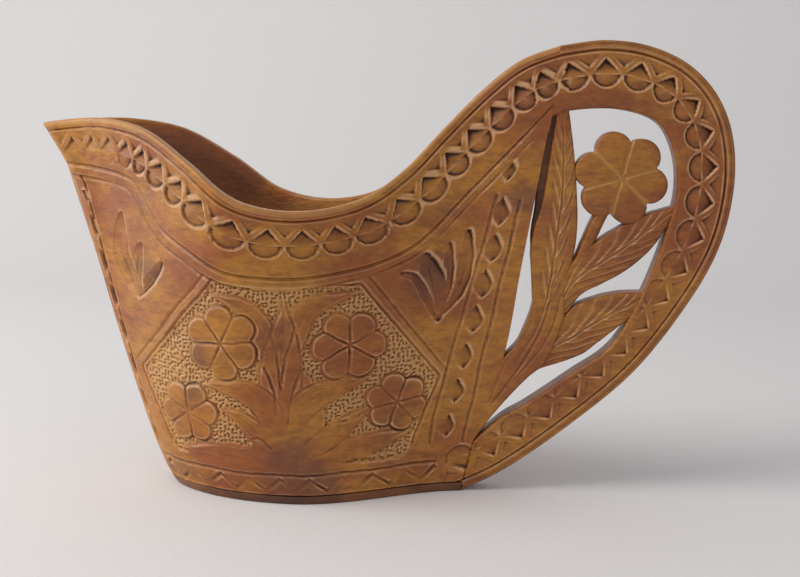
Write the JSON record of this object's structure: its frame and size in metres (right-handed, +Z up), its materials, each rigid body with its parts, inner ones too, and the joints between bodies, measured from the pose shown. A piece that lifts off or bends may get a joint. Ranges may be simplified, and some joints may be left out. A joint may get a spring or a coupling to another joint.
{
  "type": "incense burner",
  "caption": "Carved wooden boat-shaped incense burner with a pierced flower-and-leaf loop handle and a loose brass ember dish inside.",
  "frame": {"origin": "centre of the whole object's box in plan, on the surface that the foot stands on", "axes": "+X from the prow towards the loop handle, +Y towards the far side, +Z up"},
  "size_m": [0.1774, 0.0624, 0.1162],
  "materials": {
    "carved_wood": "hand-carved hardwood under an old wax or thin lacquer, amber to reddish brown with dark figure",
    "foot_wood": "the same hardwood, darker and worn where the foot meets the table",
    "dish_brass": "spun sheet brass, lightly tarnished"
  },
  "bodies": {
    "vessel": {"bowl": "carved_wood", "base_plate": "foot_wood", "handle_loop": "carved_wood", "leaf_trunk": "carved_wood", "tall_leaf": "carved_wood", "middle_leaf": "carved_wood", "lower_leaf": "carved_wood", "flower": "carved_wood", "flower_stem": "carved_wood"},
    "dish": {"ember_dish": "dish_brass"}
  },
  "joints": [
    {"name": "dish_lift", "type": "slide", "parent": "vessel", "child": "dish", "axis": [0, 0, 1], "range_m": [0, 0.11]}
  ]
}
